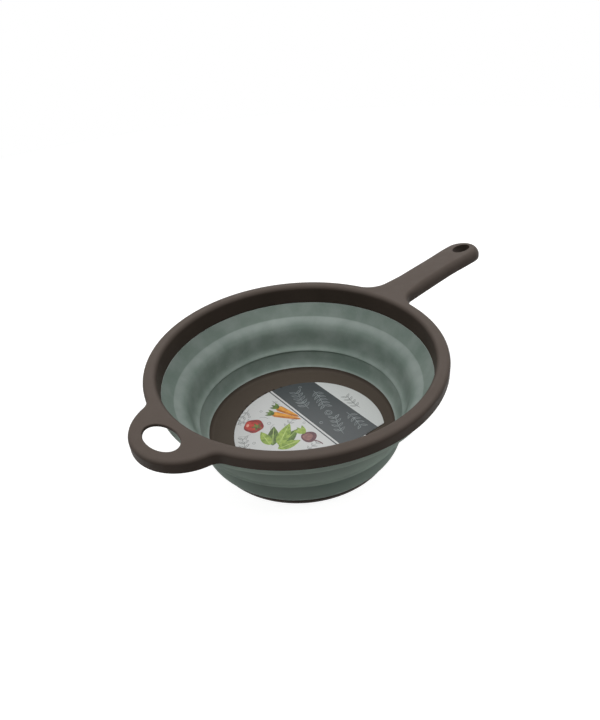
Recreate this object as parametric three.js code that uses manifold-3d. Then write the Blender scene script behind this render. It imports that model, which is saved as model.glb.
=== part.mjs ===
// Collapsible colander: a brown moulded frame (rim, long handle and loop handle in one), a soft
// silicone wall that folds between two hinge lines, a brown base plate with drain holes, and a
// paper label lying on the plate.
// Millimetres, +Z up. The long handle points along +X. The foot ring stands on z = 0, and the
// origin is the middle of the whole colander's outline on that plane.

import * as THREE from 'three';
import { mergeGeometries, mergeVertices } from 'three/addons/utils/BufferGeometryUtils.js';
import Module from 'manifold-3d';

const wasm = await Module();
wasm.setup();

// Driving sizes
const bowlHeight = 88;
const rimRadius = 120;
const clearance = 0.3;
const overrun = 5;

// Frame: flange, skirt and inner wall
const flangeWidth = 10.6;
const frameWall = 2.4;
const skirtHeight = 10.2;
const outerEdgeRound = 4.6;
const cavityEdgeRound = 2.2;
const innerEdgeRound = 2.2;
const innerWallDepth = 16.8;
const innerWallDraft = 0.7;
const innerWallThickness = 2.5;
const tongueThickness = 1.2;
const tongueDepth = 4;

// Frame: long handle with its hang hole and the ribs under it. It droops towards its tip, and its
// upper edge is rounder than the rim's and leaves a lower upright foot.
const handleLength = 142.5;
const handleDroop = 3.3;
const handleNeckHalfWidth = 15.7;
const handleGripHalfWidth = 16.95;
const handleTipLength = 22.8;
const handleTaperLength = 47.5;
const handleFillet = 18.2;
const handleBlendLength = 40;
const handleEdgeRun = 6.4;
const handleEdgeFoot = 2.4;
const handleCavityRun = 4.6;
const handleCavityFoot = 2.8;
const hangHoleFromTip = 22;
const hangHoleLength = 24.5;
const hangHoleWidth = 12.5;
const hangCollarWall = 1.8;
const ribThickness = 1.6;
const ribInset = 22;
const ribPitch = 19;
const ribRecess = 1.4;

// Frame: loop handle
const loopLength = 28;
const loopRadius = 39.5;
const loopFillet = 11;
const loopHoleFromTip = 19.5;
const loopHoleWidth = 20.2;
const loopHoleLength = 35;

// Silicone wall, from the frame down: a steep band, the web between the two hinge lines, a near
// upright band with a cove at its foot, and the beads that hold the frame and the plate
const upperBandRun = 7.7;
const upperBandHeight = 10.7;
const webRun = 16.5;
const lowerBandRun = 0.6;
const lowerBandHeight = 15.5;
const wallCoveRun = 4.5;
const wallCoveHeight = 5.5;
const foldWidth = 1.9;
const webHeelWidth = 4.8;
const bandThickness = 2.4;
const topBeadWidth = 1.8;
const topBeadRise = 7;
const topBeadDrop = 1.6;
const hemHeight = 7.1;
const hemThickness = 1.2;

// Base plate: floor, coved lip, foot ring and the tongue inside the silicone
const floorHeight = 12.6;
const floorThickness = 2.4;
const lipRise = 3.6;
const lipTopWidth = 1;
const footStep = 1.5;
const footWall = 2.6;
const footToe = 1.2;
const footToeHeight = 3;
const baseTongueReach = 1;
const baseTongueHeight = 9.6;
const baseTongueThickness = 1.6;

// Drain holes, in rings round a solid middle
const holeFieldMargin = 24.2;
const holeRings = 7;
const holePitch = 7.85;
const holeDiameter = 4;

// Paper label: a disc with one straight edge
const labelMargin = 16.4;
const labelCut = 25.5;
const labelOffset = 8.4;
const labelTurn = THREE.MathUtils.degToRad(-8);
const labelThickness = 0.4;

// Facets
const ringSegments = 56;
const rimArcSteps = 19;
const tipSteps = 7;
const taperSteps = 5;
const filletSteps = 4;
const loopArcSteps = 9;
const edgeSteps = 3;
const innerEdgeSteps = 2;
const coveSteps = 3;
const lipSteps = 2;
const webSteps = 6;
const webOuterSteps = 4;
const holeSides = 6;
const slotSegments = 9;
const labelSegments = 26;
const weldDistance = 1e-3;

// How the handle's edge is curved: one is a quarter of an ellipse, two a straight bevel
const handleEdgePower = 1.1;
// How late along its length the handle droops: one is a straight slope
const droopPower = 3;

// The web's inner face between the hinge lines: shares of the way in and of the way down. It runs
// from the upper ledge, round a soft shoulder, down a steep wall and out to the lower ledge.
const webShares = [
  [0, 0],
  [0.32, 0.115],
  [0.52, 0.246],
  [0.62, 0.4],
  [0.71, 0.69],
  [0.8, 0.87],
  [1, 1],
];
// The lower band's outer face from its hem to the hinge line: shares of the way out and up
const hemShares = [
  [0, 0],
  [0.42, 0.093],
  [0.74, 0.26],
  [1, 1],
];
// The web has its full thickness between these shares of its length, and the upper band its own
// at these shares of the way down to the fold
const webThickShares = [0.12, 0.82];
const bandThickShares = [0.45, 0.7];

// Radii that follow, from the rim inwards
const flangeInner = rimRadius - flangeWidth;
const innerWallFoot = flangeInner - innerWallDraft;
const tongueOuter = innerWallFoot + innerWallThickness;
const tongueInner = tongueOuter - tongueThickness;
const upperFoldRadius = innerWallFoot - upperBandRun;
const lowerFoldRadius = upperFoldRadius - webRun;
const lowerBandFootRadius = lowerFoldRadius - lowerBandRun;
const lipInner = lowerBandFootRadius - wallCoveRun;
const baseRadius = lipInner + lipTopWidth;
const footRadius = baseRadius - footStep;
const holeFieldRadius = baseRadius - holeFieldMargin;
const labelRadius = baseRadius - labelMargin;

// Heights that follow
const skirtBottom = bowlHeight - skirtHeight;
const innerWallBottom = bowlHeight - innerWallDepth;
const tongueBottom = innerWallBottom - tongueDepth;
const upperFoldHeight = innerWallBottom - upperBandHeight;
const lipHeight = floorHeight + lipRise;
const wallSeat = lipHeight + clearance;
const lowerFoldHeight = wallSeat + lowerBandHeight;
const baseTongueTop = baseTongueHeight + baseTongueThickness;

// The frame's upper edge, outside and in its cavity: a quarter round on the rim and on the loop,
// which widens along the long handle
const outerEdge = {
  round: outerEdgeRound,
  run: handleEdgeRun,
  rise: skirtHeight - handleEdgeFoot,
  steps: edgeSteps,
};
const cavityEdge = {
  round: cavityEdgeRound,
  run: handleCavityRun,
  rise: skirtHeight - frameWall - handleCavityFoot,
  steps: 1,
};

// Places along the handles, from the bowl's axis
const handleReach = rimRadius + handleLength;
const hangHoleCentre = handleReach - hangHoleFromTip;
const ribStart = rimRadius + ribInset;
const loopReach = rimRadius + loopLength;
const loopHoleCentre = loopReach - loopHoleFromTip;

const brownPlastic = { color: 0x463d36, roughness: 0.62, metalness: 0 };
const sageSilicone = { color: 0x7d8d86, roughness: 0.7, metalness: 0 };
const printedPaper = { color: 0xdadcdb, roughness: 0.5, metalness: 0 };

const point = (x, y) => new THREE.Vector2(x, y);
const { clamp, lerp, smoothstep } = THREE.MathUtils;

function signedVolume(corners, triVerts) {
  const [a, b, c] = [new THREE.Vector3(), new THREE.Vector3(), new THREE.Vector3()];
  let sum = 0;
  for (let i = 0; i < triVerts.length; i += 3) {
    a.fromBufferAttribute(corners, triVerts[i]);
    b.fromBufferAttribute(corners, triVerts[i + 1]);
    c.fromBufferAttribute(corners, triVerts[i + 2]);
    sum += a.dot(b.cross(c)) / 6;
  }
  return sum;
}

// A closed geometry as a solid whose faces point out
function solid(geometry) {
  const bare = geometry.index ? geometry.toNonIndexed() : geometry;
  const shell = new THREE.BufferGeometry().setAttribute('position', bare.getAttribute('position'));
  const merged = mergeVertices(shell, weldDistance);
  const corners = merged.getAttribute('position');
  const triVerts = new Uint32Array(merged.index.array);
  if (signedVolume(corners, triVerts) < 0) {
    for (let i = 0; i < triVerts.length; i += 3) {
      [triVerts[i + 1], triVerts[i + 2]] = [triVerts[i + 2], triVerts[i + 1]];
    }
  }
  return new wasm.Manifold(new wasm.Mesh({ numProp: 3, vertProperties: corners.array, triVerts }));
}

// A solid as a named mesh with its own material
function part(name, body, look) {
  const cut = body.getMesh();
  const geometry = new THREE.BufferGeometry();
  geometry.setAttribute('position', new THREE.BufferAttribute(cut.vertProperties, 3));
  geometry.setIndex(new THREE.BufferAttribute(cut.triVerts, 1));
  const mesh = new THREE.Mesh(geometry.toNonIndexed(), new THREE.MeshStandardMaterial(look));
  mesh.geometry.computeVertexNormals();
  mesh.name = name;
  return mesh;
}

// A closed profile of (radius, height) points turned round the bowl's axis
function revolve(profile) {
  const geometry = new THREE.LatheGeometry([...profile, profile[0]], ringSegments);
  geometry.rotateX(Math.PI / 2);
  return solid(geometry);
}

// A shape seen from above, drawn up between two heights
function prism(shape, bottom, top, curveSegments) {
  const depth = top - bottom;
  const geometry = new THREE.ExtrudeGeometry(shape, { depth, bevelEnabled: false, curveSegments });
  geometry.translate(0, 0, bottom);
  return solid(geometry);
}

function box(from, to) {
  const size = to.clone().sub(from);
  const geometry = new THREE.BoxGeometry(size.x, size.y, size.z);
  geometry.translate(...from.clone().add(to).multiplyScalar(0.5).toArray());
  return solid(geometry);
}

function ellipse(x, length, width) {
  return new THREE.Shape().absellipse(x, 0, length / 2, width / 2, 0, Math.PI * 2);
}

// Points along an arc or a quarter of an ellipse, without the last one
function arc(centre, halfX, halfY, from, to, steps) {
  const points = [];
  for (let i = 0; i < steps; i++) {
    const angle = from + ((to - from) * i) / steps;
    points.push(point(centre.x + halfX * Math.cos(angle), centre.y + halfY * Math.sin(angle)));
  }
  return points;
}

// The long handle's side, from its rounded tip back to the straight neck
function handleSide() {
  const tipStart = handleReach - handleTipLength;
  const tip = arc(point(tipStart, 0), handleTipLength, handleGripHalfWidth, 0, Math.PI / 2, tipSteps);
  const middle = tipStart - handleTaperLength / 2;
  const taper = new THREE.CubicBezierCurve(
    point(tipStart, handleGripHalfWidth),
    point(middle, handleGripHalfWidth),
    point(middle, handleNeckHalfWidth),
    point(tipStart - handleTaperLength, handleNeckHalfWidth),
  );
  return [...tip, ...taper.getPoints(taperSteps)];
}

// The frame's outline seen from above. One half runs from the handle's tip round to the loop's
// tip, with a fillet where each handle leaves the rim, and the other half mirrors it.
function frameOutline() {
  const neckLift = handleNeckHalfWidth + handleFillet;
  const neck = point(Math.sqrt((rimRadius + handleFillet) ** 2 - neckLift ** 2), neckLift);
  const neckAngle = Math.atan2(neck.y, neck.x);
  const neckEnd = neckAngle - Math.PI;
  const neckArc = arc(neck, handleFillet, handleFillet, -Math.PI / 2, neckEnd, filletSteps);

  const loopCentre = loopReach - loopRadius;
  const toRim = rimRadius + loopFillet;
  const toLoop = loopRadius + loopFillet;
  const earX = (loopCentre ** 2 + toRim ** 2 - toLoop ** 2) / (2 * loopCentre);
  const ear = point(-earX, Math.sqrt(toRim ** 2 - earX ** 2));
  const earAngle = Math.atan2(ear.y, ear.x);
  const loopAngle = Math.atan2(ear.y, ear.x + loopCentre);
  const [earStart, earEnd] = [earAngle - Math.PI, loopAngle - Math.PI];
  const earArc = arc(ear, loopFillet, loopFillet, earStart, earEnd, filletSteps);

  const rimArc = arc(point(0, 0), rimRadius, rimRadius, neckAngle, earAngle, rimArcSteps);
  const loopMiddle = point(-loopCentre, 0);
  const loopArc = arc(loopMiddle, loopRadius, loopRadius, loopAngle, Math.PI, loopArcSteps);
  const half = [...handleSide(), ...neckArc, ...rimArc, ...earArc, ...loopArc];
  const mirrored = half.slice(1).reverse().map((p) => point(p.x, -p.y));
  return [...half, point(-loopReach, 0), ...mirrored];
}

// A smooth closed outline moved inwards, each point by its own depth
function inset(outline, depths) {
  return outline.map((p, i) => {
    const before = outline.at(i - 1);
    const after = outline[(i + 1) % outline.length];
    const along = after.clone().sub(before).normalize().multiplyScalar(depths[i]);
    return point(p.x - along.y, p.y + along.x);
  });
}

// A solid through rings of equal count. Each end is closed by strips across the ring, from a point
// to its mirror image on the other side.
function loft(rings) {
  const count = rings[0].length;
  const corners = rings.flat();
  const faces = [];
  for (let r = 0; r + 1 < rings.length; r++) {
    for (let i = 0; i < count; i++) {
      const next = (i + 1) % count;
      const [a, b] = [r * count + i, r * count + next];
      faces.push([a, b, b + count], [a, b + count, a + count]);
    }
  }
  const last = (rings.length - 1) * count;
  for (let i = 0; i < count / 2; i++) {
    const strip = [i, i + 1, count - i - 1, (count - i) % count];
    const [a, b, c, d] = strip;
    const [e, f, g, h] = strip.map((corner) => last + corner);
    if (b !== c) faces.push([a, c, b], [e, f, g]);
    if (a !== d) faces.push([a, d, c], [e, g, h]);
  }
  const positions = faces.flat().flatMap((i) => corners[i].toArray());
  const geometry = new THREE.BufferGeometry();
  geometry.setAttribute('position', new THREE.Float32BufferAttribute(positions, 3));
  return solid(geometry);
}

// How far the long handle has come down at a place along it
function droop(x) {
  return handleDroop * clamp((x - rimRadius) / handleLength, 0, 1) ** droopPower;
}

// The frame's outline as a block, moved inwards by a wall and closed by a shaped upper edge
function shapedBlock(wall, edge, bottom, top) {
  const outline = frameOutline();
  const onHandle = outline.map((p) => smoothstep(p.x, rimRadius, rimRadius + handleBlendLength));
  const powers = onHandle.map((blend) => lerp(1, handleEdgePower, blend));
  const ring = (depths, heights) => inset(outline, depths).map((p, i) => (
    new THREE.Vector3(p.x, p.y, heights[i] - droop(p.x))
  ));
  const rings = [ring(onHandle.map(() => wall), onHandle.map(() => bottom))];
  for (let i = 0; i <= edge.steps; i++) {
    const angle = (Math.PI / 2) * (i / edge.steps);
    const shares = (side) => powers.map((power) => 1 - side(angle) ** power);
    const [ins, downs] = [shares(Math.cos), shares(Math.sin)];
    rings.push(ring(
      onHandle.map((blend, k) => wall + lerp(edge.round, edge.run, blend) * ins[k]),
      onHandle.map((blend, k) => top - lerp(edge.round, edge.rise, blend) * downs[k]),
    ));
  }
  return loft(rings);
}

// The ring round the bowl: the flange's inner edge, the wall that goes down inside the bowl and
// the tongue under it that sits in the silicone
function innerRing() {
  const stub = flangeInner + innerEdgeRound + frameWall / 2;
  const edge = point(flangeInner + innerEdgeRound, bowlHeight - innerEdgeRound);
  return revolve([
    point(stub, bowlHeight),
    ...arc(edge, innerEdgeRound, innerEdgeRound, Math.PI / 2, Math.PI, innerEdgeSteps),
    point(flangeInner, bowlHeight - innerEdgeRound),
    point(innerWallFoot, innerWallBottom),
    point(tongueInner, innerWallBottom),
    point(tongueInner, tongueBottom),
    point(tongueOuter, tongueBottom),
    point(tongueOuter, bowlHeight - frameWall),
    point(stub, bowlHeight - frameWall),
  ]);
}

// Cross ribs, one spine and the hang hole's collar in the open underside of the long handle
function handleRibs() {
  const [bottom, top] = [skirtBottom - overrun, bowlHeight + overrun];
  const spineEnd = hangHoleCentre - (hangHoleLength + hangCollarWall) / 2;
  const spineStart = tongueOuter - innerWallThickness / 2;
  let ribs = box(
    new THREE.Vector3(spineStart, -ribThickness / 2, bottom),
    new THREE.Vector3(spineEnd, ribThickness / 2, top),
  );
  for (let x = ribStart; x < spineEnd - ribThickness; x += ribPitch) {
    ribs = ribs.add(box(
      new THREE.Vector3(x - ribThickness / 2, -handleGripHalfWidth, bottom),
      new THREE.Vector3(x + ribThickness / 2, handleGripHalfWidth, top),
    ));
  }
  const [length, width] = [hangHoleLength, hangHoleWidth].map((size) => size + 2 * hangCollarWall);
  ribs = ribs.add(prism(ellipse(hangHoleCentre, length, width), bottom, top, slotSegments));
  return ribs.intersect(
    shapedBlock(frameWall / 2, cavityEdge, skirtBottom + ribRecess, bowlHeight - frameWall / 2),
  );
}

// Rim, long handle and loop handle: one open-bottomed moulding
function frame() {
  const block = shapedBlock(0, outerEdge, skirtBottom, bowlHeight);
  const [hollowBottom, hollowTop] = [skirtBottom - overrun, bowlHeight - frameWall];
  const hollow = shapedBlock(frameWall, cavityEdge, hollowBottom, hollowTop);
  const bore = flangeInner + innerEdgeRound + frameWall / 4;
  const mouth = revolve([
    point(0, skirtBottom - overrun),
    point(bore, skirtBottom - overrun),
    point(bore, bowlHeight + overrun),
    point(0, bowlHeight + overrun),
  ]);
  const hangHole = prism(
    ellipse(hangHoleCentre, hangHoleLength, hangHoleWidth),
    skirtBottom - overrun, bowlHeight + overrun, slotSegments,
  );
  const loopHole = prism(
    ellipse(-loopHoleCentre, loopHoleWidth, loopHoleLength),
    skirtBottom - overrun, bowlHeight + overrun, slotSegments,
  );
  return block
    .subtract(hollow)
    .add(handleRibs())
    .subtract(mouth)
    .add(innerRing())
    .subtract(hangHole)
    .subtract(loopHole);
}

// Silicone above the upper hinge line: a groove over the frame's tongue, a bead outside it and a
// steep band down to the fold
function upperWall() {
  const [grooveInner, grooveOuter] = [tongueInner - clearance, tongueOuter + clearance];
  const grooveBottom = tongueBottom - clearance;
  const beadOuter = grooveOuter + topBeadWidth;
  const beadBottom = grooveBottom - topBeadDrop;
  const lipTop = innerWallBottom - clearance;
  const foldTop = upperFoldHeight + clearance / 2;

  const innerTop = point(innerWallFoot, lipTop);
  const fold = point(upperFoldRadius, foldTop);
  const along = fold.clone().sub(innerTop).normalize();
  const outwards = point(-along.y, along.x).multiplyScalar(bandThickness);
  const outer = bandThickShares.map((share) => innerTop.clone().lerp(fold, share).add(outwards));

  return revolve([
    innerTop,
    fold,
    point(upperFoldRadius + foldWidth, foldTop),
    ...outer.reverse(),
    point(beadOuter - topBeadWidth / 2, beadBottom),
    point(beadOuter, beadBottom + topBeadWidth / 2),
    point(beadOuter, innerWallBottom + topBeadRise),
    point(grooveOuter, innerWallBottom + topBeadRise),
    point(grooveOuter, grooveBottom),
    point(grooveInner, grooveBottom),
    point(grooveInner, lipTop),
  ]);
}

// Silicone between the hinge lines: the part that turns over when the rim is pushed down. It is
// thin at the upper fold, thick below it, and its heel stands out over the lower band.
function foldWeb() {
  const top = upperFoldHeight - clearance / 2;
  const bottom = lowerFoldHeight + clearance / 2;
  const inner = new THREE.SplineCurve(webShares.map(([inShare, downShare]) => point(
    lerp(upperFoldRadius, lowerFoldRadius, inShare),
    lerp(top, bottom, downShare),
  )));
  const [thickFrom, thickTo] = webThickShares;
  const outer = [];
  for (let i = 0; i <= webOuterSteps; i++) {
    const share = lerp(thickTo, thickFrom, i / webOuterSteps);
    const along = inner.getTangent(share);
    outer.push(inner.getPoint(share).add(point(-along.y, along.x).multiplyScalar(bandThickness)));
  }
  return revolve([
    ...inner.getPoints(webSteps),
    point(lowerFoldRadius + webHeelWidth, bottom),
    ...outer,
    point(upperFoldRadius + foldWidth, top),
  ]);
}

// Silicone below the lower hinge line, gripping the base plate's tongue and ending in a plain hem
function lowerWall() {
  const top = lowerFoldHeight - clearance / 2;
  const [grooveTop, grooveBottom] = [baseTongueTop + clearance, baseTongueHeight - clearance];
  const face = baseRadius + clearance;
  const cove = new THREE.QuadraticBezierCurve(
    point(lowerBandFootRadius, wallSeat + wallCoveHeight),
    point(lowerBandFootRadius, wallSeat),
    point(lipInner, wallSeat),
  );
  const footFace = footRadius + clearance;
  const hem = point(footFace + hemThickness, hemHeight);
  const outerTop = point(lowerFoldRadius + foldWidth, top);
  const outer = hemShares.map(([outShare, upShare]) => point(
    lerp(hem.x, outerTop.x, outShare),
    lerp(hem.y, outerTop.y, upShare),
  ));
  return revolve([
    point(lowerFoldRadius, top),
    ...cove.getPoints(coveSteps),
    point(face, wallSeat),
    point(face, grooveTop),
    point(face + baseTongueReach, grooveTop),
    point(face + baseTongueReach, grooveBottom),
    point(footFace, grooveBottom),
    point(footFace, hemHeight),
    ...outer,
  ]);
}

function drainHoles() {
  const holes = [];
  for (let ring = 1; ring <= holeRings; ring++) {
    const radius = (holeFieldRadius * ring) / holeRings;
    const count = Math.round((2 * Math.PI * radius) / holePitch);
    for (let i = 0; i < count; i++) {
      const depth = floorThickness + 2 * overrun;
      const hole = new THREE.CylinderGeometry(holeDiameter / 2, holeDiameter / 2, depth, holeSides);
      hole.rotateX(Math.PI / 2);
      hole.translate(radius, 0, floorHeight - floorThickness / 2);
      hole.rotateZ((2 * Math.PI * i) / count);
      holes.push(hole);
    }
  }
  return solid(mergeGeometries(holes));
}

// Floor, coved lip and foot ring
function basePlate() {
  const underside = floorHeight - floorThickness;
  const cove = new THREE.QuadraticBezierCurve(
    point(lipInner - lipRise, floorHeight),
    point(lipInner - lipRise / 4, floorHeight),
    point(lipInner, lipHeight),
  );
  const plate = revolve([
    point(0, underside),
    point(0, floorHeight),
    ...cove.getPoints(lipSteps),
    point(baseRadius, lipHeight),
    point(baseRadius, baseTongueTop),
    point(baseRadius + baseTongueReach, baseTongueTop),
    point(baseRadius + baseTongueReach, baseTongueHeight),
    point(footRadius, baseTongueHeight),
    point(footRadius, footToeHeight),
    point(footRadius - footToe, 0),
    point(footRadius - footWall, 0),
    point(footRadius - footWall, underside),
  ]);
  return plate.subtract(drainHoles());
}

// The label lies on the floor, a little off the middle
function paperLabel() {
  const corner = Math.asin((labelRadius - labelCut) / labelRadius);
  const outline = new THREE.Shape().absarc(0, 0, labelRadius, -corner, Math.PI + corner);
  const bottom = floorHeight + clearance;
  return prism(outline, bottom, bottom + labelThickness, labelSegments);
}

const colander = new THREE.Group();
colander.position.x = (loopReach - handleReach) / 2;
colander.add(part('rim_frame', frame(), brownPlastic));
colander.add(part('upper_wall', upperWall(), sageSilicone));
colander.add(part('fold_web', foldWeb(), sageSilicone));
colander.add(part('lower_wall', lowerWall(), sageSilicone));
colander.add(part('base_plate', basePlate(), brownPlastic));

const label = part('paper_label', paperLabel(), printedPaper);
label.position.y = -labelOffset;
label.rotation.z = labelTurn;
colander.add(label);

export default colander;
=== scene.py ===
"""A collapsible colander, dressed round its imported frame.

Each piece of the real colander is one operator: the moulded frame with its two handles, the
silicone wall, the base plate and the printed label. One more sets the floor, the lamps and the
camera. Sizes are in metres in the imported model's own frame: the long handle points along +X, the
foot ring stands on z = 0.
"""

import math

import bmesh
import bpy
from bpy.props import FloatProperty, FloatVectorProperty, IntProperty, PointerProperty
from bpy.types import Operator, Panel, PropertyGroup
from mathutils import Matrix, Vector
from mathutils.geometry import delaunay_2d_cdt


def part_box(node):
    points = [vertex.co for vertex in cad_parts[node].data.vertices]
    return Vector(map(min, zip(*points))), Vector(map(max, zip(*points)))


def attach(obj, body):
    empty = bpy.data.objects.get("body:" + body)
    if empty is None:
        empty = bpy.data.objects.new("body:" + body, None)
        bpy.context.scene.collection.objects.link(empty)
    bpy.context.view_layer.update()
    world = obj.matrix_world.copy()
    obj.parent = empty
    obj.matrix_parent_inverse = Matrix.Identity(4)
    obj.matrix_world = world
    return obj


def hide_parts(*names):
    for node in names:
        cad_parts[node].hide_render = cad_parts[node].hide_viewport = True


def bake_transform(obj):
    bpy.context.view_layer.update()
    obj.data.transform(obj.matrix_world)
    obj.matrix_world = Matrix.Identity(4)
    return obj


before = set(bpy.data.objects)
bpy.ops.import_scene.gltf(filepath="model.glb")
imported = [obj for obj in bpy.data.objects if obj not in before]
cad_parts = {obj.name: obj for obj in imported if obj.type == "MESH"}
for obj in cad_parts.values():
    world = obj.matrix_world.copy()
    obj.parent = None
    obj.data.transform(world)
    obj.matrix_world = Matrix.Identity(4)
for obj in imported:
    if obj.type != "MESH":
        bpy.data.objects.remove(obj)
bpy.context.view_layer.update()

bl_info = {
    "name": "Collapsible colander",
    "version": (1, 0, 0),
    "blender": (4, 5, 0),
    "location": "3D View > Sidebar > Colander",
    "description": "Builds a folding silicone colander with a long handle and a loop handle",
    "category": "Object",
}

mm = 0.001
RIM_LOW, RIM_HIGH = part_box("rim_frame")
WALL_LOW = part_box("upper_wall")[0]
HEM_LOW, HEM_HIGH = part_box("lower_wall")
BASE_LOW, BASE_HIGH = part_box("base_plate")
LABEL_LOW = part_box("paper_label")[0]
BOWL_X = (BASE_LOW.x + BASE_HIGH.x) / 2
CLEARANCE = 0.3 * mm
# Roundings of small edges: a crisp one, the lowest ones, a step and the bead's lower edge
CRISP_ROUND = 0.3 * mm
FOOT_ROUND = 0.4 * mm
STEP_ROUND = 0.5 * mm
BEAD_ROUND = 1.2 * mm
# The handle's rounded edge, where 1 is a quarter of an ellipse and 2 a straight bevel
HANDLE_EDGE_POWER = 1.1
# The droop grows with this power of the way along the handle
DROOP_POWER = 3


def srgb(code):
    """A colour written as sRGB hex, as linear red, green and blue."""
    shares = [int(code[i:i + 2], 16) / 255 for i in (1, 3, 5)]
    return [s / 12.92 if s <= 0.04045 else ((s + 0.055) / 1.055) ** 2.4 for s in shares]


def length(name, description, millimetres):
    return FloatProperty(
        name=name, description=description, default=millimetres * mm, unit="LENGTH",
        precision=4,
    )


def colour(name, description, code):
    return FloatVectorProperty(
        name=name, description=description, default=srgb(code), size=3, subtype="COLOR",
        min=0, max=1,
    )


def angle(name, description, degrees):
    return FloatProperty(
        name=name, description=description, default=math.radians(degrees), subtype="ANGLE",
    )


def wattage(name, description, watts):
    return FloatProperty(
        name=name, description=description, default=watts, unit="POWER", min=0,
    )


def share(name, description, default):
    return FloatProperty(
        name=name, description=description, default=default, subtype="FACTOR", min=0, max=4,
    )


# Settings


class FrameSettings(PropertyGroup):
    rim_radius: length("Rim radius", "Bowl axis to the outer edge of the flange", 120)
    flange: length("Flange width", "Width of the rolled flange round the mouth", 10.6)
    wall: length("Wall", "Thickness of the moulding", 2.4)
    skirt: length("Skirt height", "Height of the outer edge", 10.2)
    outer_round: length("Outer rounding", "Radius of the upper outer edge", 3.2)
    cavity_round: length("Cavity rounding", "Radius inside the upper outer edge", 2.2)
    inner_round: length("Inner rounding", "Radius of the flange's inner edge", 4)
    fine_round: length("Fine rounding", "Softening of the thin lower edges", 0.5)
    hole_round: length("Finger hole rounding", "Softening of its upper edge", 0.9)
    hang_round: length("Hang hole rounding", "Softening of its upper edge", 0.5)
    inner_wall: length("Inner wall depth", "Depth of the wall inside the bowl", 16.8)
    inner_draft: length("Inner wall draft", "How far that wall leans in", 0.7)
    inner_thickness: length("Inner wall thickness", "Thickness of that wall", 2.5)
    tongue: length("Tongue thickness", "Thickness of the tongue in the silicone", 1.2)
    tongue_depth: length("Tongue depth", "Depth of the tongue in the silicone", 3.2)
    neck: length("Neck half width", "Half width of the handle at the rim", 15.7)
    grip: length("Grip half width", "Half width of the handle near its tip", 16.95)
    tip: length("Tip length", "Length of the rounded tip", 22.8)
    taper: length("Taper length", "Length over which the grip widens", 47.5)
    handle_fillet: length("Handle fillet", "Radius between handle and rim", 18.2)
    droop: length("Droop", "How far the handle has come down at its tip", 3.3)
    blend: length("Blend length", "Rim edge to the handle's full rounding", 40)
    edge_run: length("Edge run", "Width of the handle's rounded edge", 6.4)
    edge_foot: length("Edge foot", "Upright side left under that edge", 2.4)
    cavity_run: length("Cavity run", "Width of the rounding in its cavity", 4.6)
    cavity_foot: length("Cavity foot", "Upright side left in that cavity", 2.8)
    hang_from_tip: length("Hang hole place", "Tip to the middle of the hang hole", 22)
    hang_length: length("Hang hole length", "Along the handle", 24.5)
    hang_width: length("Hang hole width", "Across the handle", 12.5)
    hang_collar: length("Hang hole collar", "Wall round the hang hole underneath", 1.8)
    rib: length("Rib thickness", "Ribs under the long handle", 1.6)
    rib_inset: length("First rib", "Rim edge to the first cross rib", 22)
    rib_pitch: length("Rib pitch", "From one cross rib to the next", 19)
    rib_recess: length("Rib recess", "How far the ribs stay above the edge", 1.4)
    loop_radius: length("Loop radius", "Outer radius of the loop handle", 39.5)
    loop_fillet: length("Loop fillet", "Radius between loop and rim", 11)
    loop_from_tip: length("Finger hole place", "Loop tip to the hole's middle", 19.5)
    loop_hole_width: length("Finger hole width", "Along the handles' line", 20.2)
    loop_hole_length: length("Finger hole length", "Across the handles' line", 35)
    brown: colour("Brown", "Dyed polypropylene", "#3a322c")
    brown_light: colour("Brown, lighter flow marks", "Where the melt lies paler", "#403731")
    # Haze of dust and painted top light: faces that look up are drawn lighter, as light from above
    # makes them
    haze_and_painted_top_light: colour("Haze", "Where the surface looks up", "#584f49")


class WallSettings(PropertyGroup):
    upper_band_run: length("Upper band run", "How far the upper band leans in", 7.7)
    upper_band_height: length("Upper band height", "Frame to the upper hinge line", 10.7)
    web_run: length("Web run", "Radius lost between the hinge lines", 16.5)
    lower_band_run: length("Lower band run", "How far the lower band leans in", 0.6)
    lower_band_height: length("Lower band height", "Seat to lower hinge line", 15.5)
    cove_run: length("Cove run", "Width of the cove above the base plate", 4.5)
    cove_height: length("Cove height", "Height of that cove", 7.5)
    fold_width: length("Fold width", "Thickness left at the hinge lines", 1.9)
    thickness: length("Thickness", "Thickness of the bands", 3.3)
    bead_width: length("Bead width", "Outer lip over the frame's tongue", 1.2)
    bead_rise: length("Bead rise", "How far that lip climbs inside the frame", 7)
    bead_drop: length("Bead drop", "Silicone under the frame's tongue", 1.2)
    heel: length("Heel", "How far the web's heel stands out from the lower hinge", 7.4)
    heel_round: length("Heel rounding", "Softening of the heel's lower edge", 1.1)
    recess: length("Recess", "How far the band under the heel stands back", 0.5)
    undercut: length("Undercut", "How far the band stands back under the ledge", 0.7)
    hem_thickness: length("Hem thickness", "Silicone round the base plate's foot", 1.2)
    edge_round: length("Edge rounding", "Softening of edges and hinge lines", 0.7)
    sage: colour("Sage", "Pigmented silicone", "#7a877f")
    sage_deep: colour("Sage, deeper", "Where the surface is freshly wiped", "#6e7d75")
    # Painted light: the outside is drawn paler, standing in for the light that reaches it
    sage_painted_outside_light: colour("Sage, outside", "Where the mould is blasted", "#adbdb2")
    # Bloom and dust, and painted top light where the faces look up
    dust_and_painted_top_light: colour("Bloom", "Pale bloom that silicone gathers in handling", "#a1aaa6")


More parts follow.
